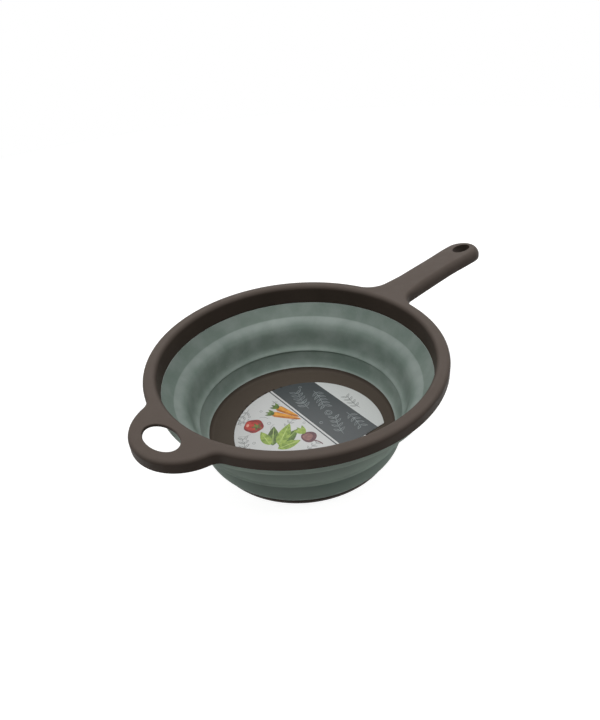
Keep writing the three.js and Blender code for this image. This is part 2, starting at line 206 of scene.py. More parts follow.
class BaseSettings(PropertyGroup):
    floor: length("Floor height", "Top of the floor above the table", 12.6)
    thickness: length("Floor thickness", "Thickness of the floor", 2.4)
    lip_rise: length("Lip rise", "Height of the coved lip above the floor", 3.6)
    lip_top: length("Lip top", "Width of the lip's top edge", 1)
    foot_step: length("Foot step", "How far the foot ring stands in from the edge", 1.5)
    foot_wall: length("Foot wall", "Thickness of the foot ring", 2.6)
    toe: length("Toe", "Width of the bevel at the foot", 1.2)
    toe_height: length("Toe height", "Height of that bevel", 3)
    tongue_reach: length("Tongue reach", "How far the tongue enters the silicone", 1)
    tongue_height: length("Tongue height", "Underside of the tongue", 9.6)
    tongue: length("Tongue thickness", "Thickness of the tongue", 1.6)
    hole_margin: length("Hole margin", "Base edge to the outer ring of holes", 24.2)
    hole_rings: IntProperty(name="Hole rings", description="Rings of drain holes", default=7)
    hole_pitch: length("Hole pitch", "From hole to hole along a ring", 7.85)
    hole: length("Hole diameter", "Diameter of a drain hole", 4)
    hole_bevel: length("Hole bevel", "Bevel at the top of a drain hole", 0.25)
    # Painted light: a lighter copy of the frame's brown polypropylene, lifting the shade that lies
    # on the base inside the bowl
    brown: colour("Brown", "Dyed polypropylene", "#453d36")
    brown_light: colour("Brown, lighter flow marks", "Where the melt lies paler", "#4b423b")
    # Haze of dust and painted top light, as on the frame
    haze_and_painted_top_light: colour("Haze", "Where the surface looks up", "#4f473f")


class LabelSettings(PropertyGroup):
    radius: length("Radius", "Radius of the round label", 64)
    cut: length("Straight edge", "Depth of the piece cut off the disc", 25.5)
    offset: length("Offset", "How far the label lies off the bowl's middle", 8.4)
    turn: angle("Turn", "How the label lies on the floor", -8)
    thickness: length("Thickness", "Thickness of the card", 0.4)
    band_from: length("Band from", "Left edge of the dark band", 6.4)
    band_to: length("Band to", "Right edge of the dark band", 43.8)
    line_width: length("Line width", "Width of the two lines beside the band", 1.7)
    white: colour("White", "Coated card", "#cacbca")
    cap: colour("Cap", "Pale grey tint", "#cbcecc")
    slate: colour("Slate", "Ink of the band", "#3c4143")


class StageSettings(PropertyGroup):
    view_turn: angle("View turn", "Camera's way round the bowl from -Y", -42.2)
    view_height: angle("View height", "Camera's height above the horizon", 33.97)
    distance: length("Distance", "Camera to the middle of the rim's top", 474.5)
    roll: angle("Roll", "Camera's roll", -5.56)
    pan: angle("Pan", "Sideways aim", -0.49)
    tilt: angle("Tilt", "Upward aim", 0.76)
    lens: FloatProperty(
        name="Lens", description="Focal length on the 36 mm long side", default=30, min=1,
    )
    box_size: length("Box size", "Side of each lamp's soft box", 1200)
    overhead: wattage("Overhead", "Power of the overhead box", 9)
    left: wattage("Left", "Power of the box on the left", 17.5)
    right: wattage("Right", "Power of the box on the right", 14.7)
    front: wattage("Front", "Power of the front box", 1.4)
    back: wattage("Back", "Power of the back box", 6.2)
    surround: share("Surround", "Strength of the room's light", 0.02)
    floor_lift: share("Floor lift", "Extra white that the camera sees on the floor", 0.9)
    floor_radius: length("Floor radius", "Radius of the floor round the bowl", 1200)


# Small helpers for curves


def arc(centre, half_x, half_y, start, end, steps):
    """Points along an arc or a quarter of an ellipse, without the last one."""
    points = []
    for i in range(steps):
        at = start + (end - start) * i / steps
        points.append(Vector((
            centre[0] + half_x * math.cos(at),
            centre[1] + half_y * math.sin(at),
        )))
    return points


def bezier(points, steps):
    """Points along a quadratic or cubic Bezier curve, both ends included."""
    curve = []
    for i in range(steps + 1):
        row = [Vector(p) for p in points]
        while len(row) > 1:
            row = [a.lerp(b, i / steps) for a, b in zip(row, row[1:])]
        curve.append(row[0])
    return curve


def through(points, steps):
    """A smooth curve through points, as an even number of steps between each two."""
    points = [Vector(p) for p in points]
    ends = [2 * points[0] - points[1], *points, 2 * points[-1] - points[-2]]
    curve = []
    for a, b, c, d in zip(ends, ends[1:], ends[2:], ends[3:]):
        for i in range(steps):
            t = i / steps
            curve.append((
                2 * b + (c - a) * t + (2 * a - 5 * b + 4 * c - d) * t ** 2
                + (3 * b - a - 3 * c + d) * t ** 3
            ) / 2)
    return [*curve, points[-1]]


def softened(corners, steps=4):
    """A closed profile whose corners are rounded. A corner is (radius, height, rounding)."""
    profile = []
    for i, (r, z, rounding) in enumerate(corners):
        here = Vector((r, z))
        before = Vector(corners[i - 1][:2]) - here
        after = Vector(corners[(i + 1) % len(corners)][:2]) - here
        if not rounding:
            profile.append(here)
            continue
        start = here + before.normalized() * min(rounding, before.length * 0.45)
        end = here + after.normalized() * min(rounding, after.length * 0.45)
        profile += bezier([start, here, end], steps)
    return profile


def inset(outline, depths):
    """A smooth closed outline moved inwards, each point by its own depth."""
    moved = []
    for i, (p, depth) in enumerate(zip(outline, depths)):
        along = (outline[(i + 1) % len(outline)] - outline[i - 1]).normalized() * depth
        moved.append(Vector((p.x - along.y, p.y + along.x)))
    return moved


def circle(centre, half_x, half_y, steps):
    """A whole circle or ellipse, anticlockwise from its +X side."""
    return arc(centre, half_x, half_y, 0, math.tau, steps)


def smooth_step(value):
    """From 0 to 1 with soft ends."""
    value = min(max(value, 0), 1)
    return value * value * (3 - 2 * value)


class Shell:
    """A mesh made of rings of corners, the strips between them and flat fills."""

    def __init__(self):
        self.mesh = bmesh.new()

    def ring(self, outline, height):
        return [self.mesh.verts.new((p[0], p[1], height)) for p in outline]

    def hilly_ring(self, outline, heights):
        return [self.mesh.verts.new((p[0], p[1], z)) for p, z in zip(outline, heights)]

    def strip(self, rings):
        """Joins rings of equal count, one after the other."""
        for lower, upper in zip(rings, rings[1:]):
            for i, corner in enumerate(lower):
                self.mesh.faces.new((lower[i - 1], corner, upper[i], upper[i - 1]))

    def fill(self, rings):
        """Closes the flat region between an outer ring and the rings of its holes."""
        corners, loops = [], []
        for ring in rings:
            loops.append(list(range(len(corners), len(corners) + len(ring))))
            corners += ring
        flat = [corner.co.xy / mm for corner in corners]
        inside = 1
        _, _, faces, origins, _, owners = delaunay_2d_cdt(flat, [], loops, inside, 1e-5)
        for face, own in zip(faces, owners):
            if set(own) == {0}:
                self.mesh.faces.new([corners[origins[i][0]] for i in face])

    def turned(self, profile, steps, closed=True):
        """Turns a (radius, height) profile round the bowl's axis and gives its rings."""
        centre = (BOWL_X, 0)
        rings = [self.ring(circle(centre, r, r, steps), z) for r, z in profile]
        self.strip([*rings, rings[0]] if closed else rings)
        return rings

    def bar(self, section, start, end):
        """A solid bar along X with a section of (y, z) corners."""
        ends = [[self.mesh.verts.new((x, *corner)) for corner in section] for x in (start, end)]
        self.strip(ends)
        for corners in ends:
            self.mesh.faces.new(corners)

    def finish(self, name, sharp=40):
        """The mesh as an object with smooth faces and sharp edges past an angle."""
        bmesh.ops.recalc_face_normals(self.mesh, faces=self.mesh.faces)
        data = bpy.data.meshes.new(name)
        self.mesh.to_mesh(data)
        self.mesh.free()
        data.shade_smooth()
        data.set_sharp_from_angle(angle=math.radians(sharp))
        piece = bpy.data.objects.new(name, data)
        bpy.context.scene.collection.objects.link(piece)
        return piece


def keep_flats_flat(piece):
    """Lets large flat faces set the normals along their edges."""
    weighted = piece.modifiers.new("Flat faces", "WEIGHTED_NORMAL")
    weighted.keep_sharp = True
    weighted.weight = 100


def combine(piece, tool, operation):
    """Joins a closed solid to a piece, or cuts it out, and deletes the solid."""
    join = piece.modifiers.new("Combine", "BOOLEAN")
    join.operation = operation
    join.solver = "EXACT"
    join.object = tool
    joined = bpy.data.meshes.new_from_object(
        piece.evaluated_get(bpy.context.evaluated_depsgraph_get()),
    )
    piece.modifiers.clear()
    piece.data = joined
    bpy.data.objects.remove(tool)


# Materials


def add_node(tree, kind, inputs=None, **settings):
    """Adds a shader node with its settings. An input is a value, or a node or socket to link
    from."""
    node = tree.nodes.new("ShaderNode" + kind)
    for name, value in settings.items():
        setattr(node, name, value)
    for name, value in (inputs or {}).items():
        socket = node.inputs[name]
        if isinstance(value, bpy.types.Node):
            value = next(output for output in value.outputs if output.enabled)
        if isinstance(value, bpy.types.NodeSocket):
            tree.links.new(value, socket)
        elif socket.type == "RGBA":
            socket.default_value = (*value[:3], 1)
        else:
            socket.default_value = value
    return node


def start_material(name):
    """A new material's node tree, with its output and the place on the object."""
    material = bpy.data.materials.new(name)
    material.use_nodes = True
    tree = material.node_tree
    tree.nodes.clear()
    place = add_node(tree, "TexCoord").outputs["Object"]
    return material, tree, place


def end_material(tree, inputs):
    """Closes a tree with a principled shader and the output."""
    shader = add_node(tree, "BsdfPrincipled", inputs)
    add_node(tree, "OutputMaterial", {"Surface": shader})


def facing_up(tree, low, high):
    """How far a surface faces up, from 0 to 1 between two heights of its normal."""
    normal = add_node(tree, "TexCoord").outputs["Normal"]
    height = add_node(tree, "SeparateXYZ", {"Vector": normal}).outputs["Z"]
    return add_node(tree, "MapRange", {0: height, 1: low, 2: high})


def satin_polypropylene(name, settings):
    """Polypropylene moulded in a finely etched steel mould: a dull satin sheen, faint cloudy
    flow marks a few centimetres across, an orange-peel grain, drawn coarser than it is so that
    it shows, and a greyer haze on the faces that look up: dust that lies there in handling, and
    painted top light that makes the tops lighter than the sides."""
    material, tree, place = start_material(name)
    flow, dull, grain = (
        add_node(tree, "TexNoise", {
            "Vector": place, "Scale": 1 / (size * mm), "Detail": detail,
        })
        for size, detail in ((35, 2), (9, 2), (0.9, 3))
    )
    flow = add_node(tree, "MapRange", {0: flow, 1: 0.35, 2: 0.65})
    # Painted top light, with dust: the faces that look up are mixed towards the paler haze
    haze_and_painted_top_light = facing_up(tree, 0.2, 0.95)
    melt = settings.brown
    for factor, tint in ((flow, settings.brown_light), (haze_and_painted_top_light, settings.haze_and_painted_top_light)):
        melt = add_node(tree, "Mix", {0: factor, 6: melt, 7: tint}, data_type="RGBA")
    end_material(tree, {
        "Base Color": melt,
        "Roughness": add_node(
            tree, "MapRange", {0: dull, 1: 0.3, 2: 0.7, 3: 0.5, 4: 0.6},
        ),
        "IOR": 1.49,
        "Specular IOR Level": 0.08,
        "Normal": add_node(tree, "Bump", {"Height": grain, "Distance": 0.02 * mm}),
    })
    return material


# Painted light on the outside: how pale it is drawn at the top of the folding web, and the heights
# between which that changes: painted light up to the bead and down to the heel, painted shade
# under the heel, painted light again down to the hem
PAINTED_BAND_LIGHT = 0.1
PAINTED_BAND_LIGHT_STEPS = (
    (WALL_LOW.z + 2 * mm, WALL_LOW.z + 6 * mm, 0.9),
    (WALL_LOW.z - 8 * mm, HEM_HIGH.z + 2 * mm, 0.9),
    (HEM_HIGH.z + 0.6 * mm, HEM_HIGH.z - 0.4 * mm, -0.95),
    (HEM_HIGH.z - 2 * mm, HEM_LOW.z + 4 * mm, 0.65),
)


def moulded_silicone(name, settings):
    """Compression-moulded silicone rubber: matte and a little uneven to the eye where it has
    been folded, with painted light outside, paler there and in bands by height with a painted
    shade under the heel, with the bloom and dust that it gathers in handling, in patches, and
    painted top light on the ledges that face up, and a fine grain, drawn coarser than it is."""
    material, tree, place = start_material(name)
    patches, clouds, specks, waves, grain = (
        add_node(tree, "TexNoise", {
            "Vector": place, "Scale": 1 / (size * mm), "Detail": detail,
        })
        for size, detail in ((17, 4), (70, 2), (1.6, 3), (42, 1), (0.7, 2))
    )
    patches = add_node(tree, "MapRange", {0: patches, 1: 0.38, 2: 0.66})
    clouds = add_node(tree, "MapRange", {0: clouds, 1: 0.35, 2: 0.65})
    specks = add_node(tree, "MapRange", {0: specks, 1: 0.66, 2: 0.78, 4: 0.35})
    waves = add_node(tree, "Bump", {"Height": waves, "Distance": 0.8 * mm})

    facing = add_node(tree, "TexCoord").outputs["Normal"]
    radial = add_node(tree, "VectorMath", {0: place, 1: (-BOWL_X, 0, 0)})
    outward = add_node(tree, "VectorMath", {0: radial, 1: facing}, operation="DOT_PRODUCT")
    outward = add_node(tree, "MapRange", {0: outward, 2: 40 * mm})
    height = add_node(tree, "SeparateXYZ", {0: place}).outputs["Z"]
    painted_band_light = PAINTED_BAND_LIGHT
    for high, low, change in PAINTED_BAND_LIGHT_STEPS:
        step = add_node(tree, "MapRange", {0: height, 1: high, 2: low, 4: change})
        painted_band_light = add_node(tree, "Math", {0: step, 1: painted_band_light})
    # Painted light and shade on the outside: paler bands and a painted shade under the heel, by
    # height
    painted_outside_light = add_node(tree, "Math", {0: outward, 1: painted_band_light}, operation="MULTIPLY")

    # Dust and painted top light: ledges that face up are drawn paler, as light from above makes
    # them; the specks are dust only
    settled_dust_and_painted_top_light = add_node(tree, "MapRange", {0: patches, 4: 0.3})
    settled_dust_and_painted_top_light = add_node(
        tree, "Math", {0: facing_up(tree, 0.62, 0.92), 1: 0.5, 2: settled_dust_and_painted_top_light},
        operation="MULTIPLY_ADD",
    )
    body = settings.sage_deep
    for factor, tint in (
        (clouds, settings.sage), (painted_outside_light, settings.sage_painted_outside_light),
        (settled_dust_and_painted_top_light, settings.dust_and_painted_top_light), (specks, settings.dust_and_painted_top_light),
    ):
        body = add_node(tree, "Mix", {0: factor, 6: body, 7: tint}, data_type="RGBA")
    end_material(tree, {
        "Base Color": body,
        "Roughness": add_node(tree, "MapRange", {0: patches, 3: 0.62, 4: 0.78}),
        "IOR": 1.41,
        "Specular IOR Level": 0.18,
        "Normal": add_node(tree, "Bump", {
            "Height": grain, "Distance": 0.015 * mm, "Normal": waves,
        }),
    })
    return material


def coated_card(name, tint, roughness=0.42):
    """Card with a clay coating under offset ink: flat, faintly fibrous and slightly glossy."""
    material, tree, place = start_material(name)
    fibres = add_node(tree, "TexNoise", {
        "Vector": place, "Scale": 1 / (1.1 * mm), "Detail": 4,
    })
    cover = add_node(tree, "MapRange", {0: fibres, 1: 0.3, 2: 0.7})
    darker = [c * 0.93 for c in tint]
    end_material(tree, {
        "Base Color": add_node(
            tree, "Mix", {0: cover, 6: darker, 7: tint}, data_type="RGBA",
        ),
        "Roughness": roughness,
        "Normal": add_node(tree, "Bump", {"Height": fibres, "Distance": 0.01 * mm}),
    })
    return material


def printed_ink(name, dark_code, light_code, grain):
    """Offset ink in two tones of one colour, mottled at the scale of what it pictures."""
    material, tree, place = start_material(name)
    tones = add_node(tree, "TexNoise", {
        "Vector": place, "Scale": 1 / (grain * mm), "Detail": 3,
    })
    tones = add_node(tree, "MapRange", {0: tones, 1: 0.38, 2: 0.62})
    end_material(tree, {
        "Base Color": add_node(
            tree, "Mix", {0: tones, 6: srgb(dark_code), 7: srgb(light_code)},
            data_type="RGBA",
        ),
        "Roughness": 0.42,
    })
    return material


# The moulded frame


def half_outline(s):
    """One half of the frame seen from above, from the long handle's tip to the loop's tip."""
    reach = RIM_HIGH.x - BOWL_X
    tip_start = reach - s.tip
    points = arc((tip_start, 0), s.tip, s.grip, 0, math.pi / 2, 24)
    middle = tip_start - s.taper / 2
    points += bezier([
        (tip_start, s.grip), (middle, s.grip), (middle, s.neck), (tip_start - s.taper, s.neck),
    ], 20)

    lift = s.neck + s.handle_fillet
    neck_x = math.sqrt((s.rim_radius + s.handle_fillet) ** 2 - lift ** 2)
    neck_angle = math.atan2(lift, neck_x)
    straight = neck_x - (tip_start - s.taper)
    for i in range(1, 16):
        points.append(Vector((tip_start - s.taper + straight * i / 16, s.neck)))
    points += arc(
        (neck_x, lift), s.handle_fillet, s.handle_fillet, -math.pi / 2,
        neck_angle - math.pi, 16,
    )

    loop_centre = BOWL_X - RIM_LOW.x - s.loop_radius
    to_rim = s.rim_radius + s.loop_fillet
    to_loop = s.loop_radius + s.loop_fillet
    ear_x = (loop_centre ** 2 + to_rim ** 2 - to_loop ** 2) / (2 * loop_centre)
    ear = (-ear_x, math.sqrt(to_rim ** 2 - ear_x ** 2))
    ear_angle = math.atan2(ear[1], ear[0])
    loop_angle = math.atan2(ear[1], ear[0] + loop_centre)
    points += arc((0, 0), s.rim_radius, s.rim_radius, neck_angle, ear_angle, 90)
    points += arc(
        ear, s.loop_fillet, s.loop_fillet, ear_angle - math.pi, loop_angle - math.pi, 14,
    )
    points += arc((-loop_centre, 0), s.loop_radius, s.loop_radius, loop_angle, math.pi, 36)
    return points


def frame_outline(s):
    """The frame's whole outline: the half, its loop's tip and the mirrored half."""
    half = half_outline(s)
    tip = Vector((RIM_LOW.x - BOWL_X, 0))
    whole = [*half, tip, *(Vector((p.x, -p.y)) for p in reversed(half[1:]))]
    return [p + Vector((BOWL_X, 0)) for p in whole]


def shaped_edge(s, shell, outline, depth, radius, run, rise, top, steps):
    """Rings up the frame's edge, from its upright side to the flat top: a quarter round on the
    rim and the loop, which widens along the long handle."""
    start = BOWL_X + s.rim_radius
    on_handle = [smooth_step((p.x - start) / s.blend) for p in outline]
    rings = []
    for i in range(steps + 1):
        at = math.pi / 2 * i / steps
        depths, heights = [], []
        for w in on_handle:
            power = 1 + (HANDLE_EDGE_POWER - 1) * w
            depths.append(depth + (radius + (run - radius) * w) * (1 - math.cos(at) ** power))
            heights.append(top - (radius + (rise - radius) * w) * (1 - math.sin(at) ** power))
        rings.append(shell.hilly_ring(inset(outline, depths), heights))
    return rings


def hole_side(shell, centre, half_x, half_y, soft, top, bottom, steps):
    """Rings down a hole's side, from the rounded edge on top to the lower edge."""
    rings = []
    for i in range(5):
        at = math.pi / 2 * i / 4
        grow = soft * (1 - math.sin(at))
        outline = circle(centre, half_x + grow, half_y + grow, steps)
        rings.append(shell.ring(outline, top - soft * (1 - math.cos(at))))
    rings.append(shell.ring(circle(centre, half_x, half_y, steps), bottom))
    return rings


def build_frame(s):
    """Rim, long handle and loop handle: one open-bottomed moulding."""
    shell = Shell()
    outline = frame_outline(s)
    top = RIM_HIGH.z
    skirt = top - s.skirt
    under = top - s.wall
    inner = s.rim_radius - s.flange

    outside = shaped_edge(
        s, shell, outline, 0, s.outer_round, s.edge_run, s.skirt - s.edge_foot, top, 12,
    )
    cavity = shaped_edge(
        s, shell, outline, s.wall, s.cavity_round, s.cavity_run,
        s.skirt - s.wall - s.cavity_foot, under, 5,
    )
    edge = [
        shell.ring(inset(outline, [depth] * len(outline)), height)
        for depth, height in (
            (s.wall, skirt + s.fine_round), (s.wall - s.fine_round, skirt),
            (s.fine_round, skirt), (0, skirt + s.fine_round),
        )
    ]
    shell.strip([*reversed(cavity), *edge, *outside])

    foot = inner - s.inner_draft
    tongue_outer = foot + s.inner_thickness
    tongue_inner = tongue_outer - s.tongue
    foot_z = top - s.inner_wall
    edge_centre = (inner + s.inner_round, top - s.inner_round)
    mouth = arc(edge_centre, s.inner_round, s.inner_round, math.pi / 2, math.pi, 8)
    mouth += softened([
        (inner, top - s.inner_round, 0),
        (foot, foot_z, s.fine_round),
        (tongue_inner, foot_z, 0),
        (tongue_inner, foot_z - s.tongue_depth, 0),
        (tongue_outer, foot_z - s.tongue_depth, 0),
        (tongue_outer, under, 0),
    ])
    mouth_rings = shell.turned(mouth, steps=224, closed=False)

    loop_hole = hole_side(
        shell, (RIM_LOW.x + s.loop_from_tip, 0), s.loop_hole_width / 2,
        s.loop_hole_length / 2, s.hole_round, top, under, 72,
    )
    shell.strip(loop_hole)

    shell.fill([outside[-1], mouth_rings[0], loop_hole[0]])
    shell.fill([cavity[-1], mouth_rings[-1], loop_hole[-1]])
    return shell.finish("moulded_frame")


def hang_hole_tools(s):
    """The collar under the hang hole, and the solid that cuts the hole with its soft edge."""
    place = (RIM_HIGH.x - s.hang_from_tip, 0)
    half_x, half_y = s.hang_length / 2, s.hang_width / 2
    top = RIM_HIGH.z
    skirt = top - s.skirt

    collar = Shell()
    outline = circle(place, half_x + s.hang_collar, half_y + s.hang_collar, 64)
    rings = [collar.ring(outline, skirt + s.rib_recess), collar.ring(outline, top - s.wall / 2)]
    collar.strip(rings)
    collar.fill(rings[:1])
    collar.fill(rings[1:])

    cutter = Shell()
    rings = [cutter.ring(circle(place, half_x, half_y, 64), skirt - s.skirt)]
    for i in range(6):
        at = math.pi / 2 * i / 5
        grow = s.hang_round * (1 - math.cos(at))
        outline = circle(place, half_x + grow, half_y + grow, 64)
        rings.append(cutter.ring(outline, top - s.hang_round * (1 - math.sin(at))))
    rings.append(cutter.ring(outline, top + s.skirt))
    cutter.strip(rings)
    cutter.fill(rings[:1])
    cutter.fill(rings[-1:])
    return collar.finish("collar"), cutter.finish("hang_hole")


def half_width(s, x):
    """Half the handle's width at a place along it."""
    side = [p for p in half_outline(s) if p.x > s.rim_radius]
    return min(side, key=lambda p: abs(p.x + BOWL_X - x)).y


def build_ribs(s):
    """Cross ribs and one spine in the open underside of the long handle, cut to end inside the
    thickness of the moulding."""
    shell = Shell()
    low = RIM_HIGH.z - s.skirt + s.rib_recess
    high = RIM_HIGH.z - s.wall / 2
    shoulder = high - (s.skirt - s.wall - s.cavity_foot)
    hang_start = RIM_HIGH.x - s.hang_from_tip - (s.hang_length + s.hang_collar) / 2
    start = BOWL_X + s.rim_radius - s.flange - s.inner_draft + s.inner_thickness * 0.8
    half = s.rib / 2
    shell.bar([(-half, low), (half, low), (half, high), (-half, high)], start, hang_start)
    ribs = [shell.finish("spine")]
    x = BOWL_X + s.rim_radius + s.rib_inset
    while x < hang_start - s.rib:
        side = half_width(s, x) - s.wall / 2
        corners = [(side, low), (side, shoulder), (side - s.cavity_run, high)]
        rib = Shell()
        rib.bar([*corners, *((-y, z) for y, z in reversed(corners))], x - half, x + half)
        ribs.append(rib.finish("rib"))
        x += s.rib_pitch
    return ribs


def let_droop(s, piece):
    """Bends the long handle down towards its tip."""
    start = BOWL_X + s.rim_radius
    for vertex in piece.data.vertices:
        along = (vertex.co.x - start) / (RIM_HIGH.x - start)
        vertex.co.z -= s.droop * min(max(along, 0), 1) ** DROOP_POWER


class COLANDER_OT_frame(Operator):
    """Builds the rim, the long handle and the loop handle as one moulding"""

    bl_idname = "colander.frame"
    bl_label = "Moulded frame"

    def execute(self, context):
        s = context.scene.colander_frame
        piece = build_frame(s)
        collar, cutter = hang_hole_tools(s)
        for solid in (collar, *build_ribs(s)):
            combine(piece, solid, "UNION")
        combine(piece, cutter, "DIFFERENCE")
        let_droop(s, piece)
        piece.data.shade_smooth()
        piece.data.set_sharp_from_angle(angle=math.radians(35))
        keep_flats_flat(piece)
        piece.data.materials.append(satin_polypropylene("Satin polypropylene, brown", s))
        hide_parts("rim_frame")
        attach(piece, "rim")
        return {"FINISHED"}


# The silicone wall


def web_inner_face(upper, lower):
    """The folding web's inner face: a ledge, a soft shoulder, a steep wall and a lower ledge.
    Shares are of the way in and of the way down."""
    web_shares = [
        (0, 0), (0.32, 0.115), (0.52, 0.246), (0.62, 0.4), (0.71, 0.69), (0.8, 0.87), (1, 1),
    ]
    points = [
        (upper[0] + (lower[0] - upper[0]) * inwards, upper[1] + (lower[1] - upper[1]) * down)
        for inwards, down in web_shares
    ]
    return through(points, 6)


def offset_outwards(curve, distance):
    """A profile curve that runs down and inwards, moved to the outer side."""
    moved = []
    for before, here, after in zip(curve, curve[1:], curve[2:]):
        along = (after - before).normalized()
        moved.append(here + Vector((-along.y, along.x)) * distance)
    return moved


def wall_profile(s, f, b):
    """The whole wall's section, down its inner face and up its outer one."""
    soft = s.edge_round
    foot = f.rim_radius - f.flange - f.inner_draft
    foot_z = RIM_HIGH.z - f.inner_wall
    groove_outer = foot + f.inner_thickness + CLEARANCE
    groove_inner = foot + f.inner_thickness - f.tongue - CLEARANCE
    groove_z = foot_z - f.tongue_depth - CLEARANCE
    upper = Vector((foot - s.upper_band_run, foot_z - s.upper_band_height))
    lip_z = b.floor + b.lip_rise
    lower = Vector((upper.x - s.web_run, lip_z + CLEARANCE + s.lower_band_height))
    seat = lip_z + CLEARANCE
    cove_top = lower.x - s.lower_band_run
    lip_inner = cove_top - s.cove_run
    face = lip_inner + b.lip_top + CLEARANCE
    groove_top = b.tongue_height + b.tongue + CLEARANCE

    web = web_inner_face(upper, lower)
    web_outer = offset_outwards(web, s.thickness)
    # The outer face stops short of both hinge lines, where the corners below take over
    thick = web_outer[len(web_outer) // 8:-len(web_outer) // 7]
    cove_middle = (cove_top - s.cove_run * 0.3, seat + s.cove_height * 0.25)
    cove = bezier([(cove_top, seat + s.cove_height), cove_middle, (lip_inner, seat)], 8)
    foot_face = face - b.foot_step
    hem = Vector((foot_face + s.hem_thickness, HEM_LOW.z))
    fold = Vector((lower.x + s.fold_width - s.recess, lower.y))
    hem_shares = [(0, 0), (0.46, 0.093), (0.84, 0.26), (1, 0.6), (1, 1)]
    outer_band = through([
        (hem.x + (fold.x - hem.x) * out, hem.y + (fold.y - hem.y) * up) for out, up in hem_shares
    ], 6)
    bead_outer = groove_outer + s.bead_width
    bead_z = groove_z - s.bead_drop

    inner_top = Vector((foot, foot_z - CLEARANCE))
    band_out = (upper - inner_top).normalized()
    band_out = Vector((-band_out.y, band_out.x)) * s.thickness

    corners = [(inner_top.x, inner_top.y, CRISP_ROUND)]
    corners += [(p.x, p.y, soft if i == 0 else 0) for i, p in enumerate(web[:-1])]
    corners += [(lower.x, lower.y, soft), (lower.x + s.undercut, lower.y - 2 * s.undercut, soft)]
    corners += [(p.x, p.y, 0) for p in cove]
    corners += [
        (face, seat, 0), (face, groove_top, 0), (face + b.tongue_reach, groove_top, 0),
        (face + b.tongue_reach, b.tongue_height - CLEARANCE, 0),
        (foot_face, b.tongue_height - CLEARANCE, 0), (foot_face, hem.y, 0),
    ]
    corners.append((hem.x, hem.y, FOOT_ROUND))
    corners += [(p.x, p.y, 0) for p in outer_band[1:-1]]
    corners += [(fold.x, fold.y, CRISP_ROUND), (lower.x + s.heel, lower.y, s.heel_round)]
    corners += [(p.x, p.y, 0) for p in reversed(thick)]
    corners.append((upper.x + s.fold_width, upper.y, soft))
    for at in (0.7, 0.45):
        outer = inner_top.lerp(upper, at) + band_out
        corners.append((outer.x, outer.y, soft))
    corners += [
        (bead_outer, bead_z, BEAD_ROUND), (bead_outer, foot_z + s.bead_rise, STEP_ROUND),
        (groove_outer, foot_z + s.bead_rise, 0), (groove_outer, groove_z, 0),
        (groove_inner, groove_z, 0), (groove_inner, foot_z - CLEARANCE, 0),
    ]
    return softened(corners)


class COLANDER_OT_wall(Operator):
    """Builds the silicone wall as one piece, with the two hinge lines that the real wall folds
    between
    """

    bl_idname = "colander.wall"
    bl_label = "Silicone wall"

    def execute(self, context):
        scene = context.scene
        s = scene.colander_wall
        shell = Shell()
        profile = wall_profile(s, scene.colander_frame, scene.colander_base)
        shell.turned(profile, steps=240)
        piece = shell.finish("silicone_wall", sharp=50)
        piece.data.materials.append(moulded_silicone("Moulded silicone, sage", s))
        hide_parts("upper_wall", "fold_web", "lower_wall")
        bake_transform(piece)
        return {"FINISHED"}


# The base plate


def drain_hole_centres(s, radius):
    """Centres of the drain holes, in rings round a solid middle."""
    centres = []
    field = radius - s.hole_margin
    for ring in range(1, s.hole_rings + 1):
        r = field * ring / s.hole_rings
        count = round(math.tau * r / s.hole_pitch)
        for i in range(count):
            at = math.tau * i / count
            centres.append((BOWL_X + r * math.cos(at), r * math.sin(at)))
    return centres


def build_base(s, radius):
    """Floor with drain holes, coved lip, foot ring and the tongue in the silicone."""
    shell = Shell()
    under = s.floor - s.thickness
    lip = s.floor + s.lip_rise
    lip_inner = radius - s.lip_top
    cove = bezier([
        (lip_inner - s.lip_rise, s.floor),
        (lip_inner - s.lip_rise / 4, s.floor),
        (lip_inner, lip),
    ], 10)
    tongue_top = s.tongue_height + s.tongue
    foot = radius - s.foot_step
    profile = softened([
        *((p.x, p.y, 0) for p in cove[:-1]),
        (lip_inner, lip, CRISP_ROUND),
        (radius, lip, CRISP_ROUND),
        (radius, tongue_top, 0),
        (radius + s.tongue_reach, tongue_top, 0),
        (radius + s.tongue_reach, s.tongue_height, 0),
        (foot, s.tongue_height, 0),
        (foot, s.toe_height, STEP_ROUND),
        (foot - s.toe, 0, FOOT_ROUND),
        (foot - s.foot_wall, 0, FOOT_ROUND),
        (foot - s.foot_wall, under, 0),
    ])
    rings = shell.turned(profile, steps=192, closed=False)

    tops, bottoms = [rings[0]], [rings[-1]]
    for centre in drain_hole_centres(s, radius):
        hole = [
            shell.ring(circle(centre, r, r, 18), z)
            for r, z in (
                (s.hole / 2 + s.hole_bevel, s.floor),
                (s.hole / 2, s.floor - s.hole_bevel),
                (s.hole / 2, under),
            )
        ]
        shell.strip(hole)
        tops.append(hole[0])
        bottoms.append(hole[-1])
    shell.fill(tops)
    shell.fill(bottoms)
    return shell.finish("drain_base", sharp=35)


class COLANDER_OT_base(Operator):
    """Builds the base plate with its drain holes, lip and foot ring"""

    bl_idname = "colander.base"
    bl_label = "Base plate"

    def execute(self, context):
        s = context.scene.colander_base
        radius = (BASE_HIGH.x - BASE_LOW.x) / 2 - s.tongue_reach
        piece = build_base(s, radius)
        keep_flats_flat(piece)
        # The base's brown is painted lighter than the frame's, against the shade in the bowl
        piece.data.materials.append(satin_polypropylene("Satin polypropylene, base brown with painted light", s))
        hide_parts("base_plate")
        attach(piece, "base")
        return {"FINISHED"}


# The printed label


def placed(points, at, turn=0.0):
    """An outline turned and put at a place on the label, all in millimetres."""
    c, s = math.cos(math.radians(turn)), math.sin(math.radians(turn))
    return [(at[0] + c * x - s * y, at[1] + s * x + c * y) for x, y in points]


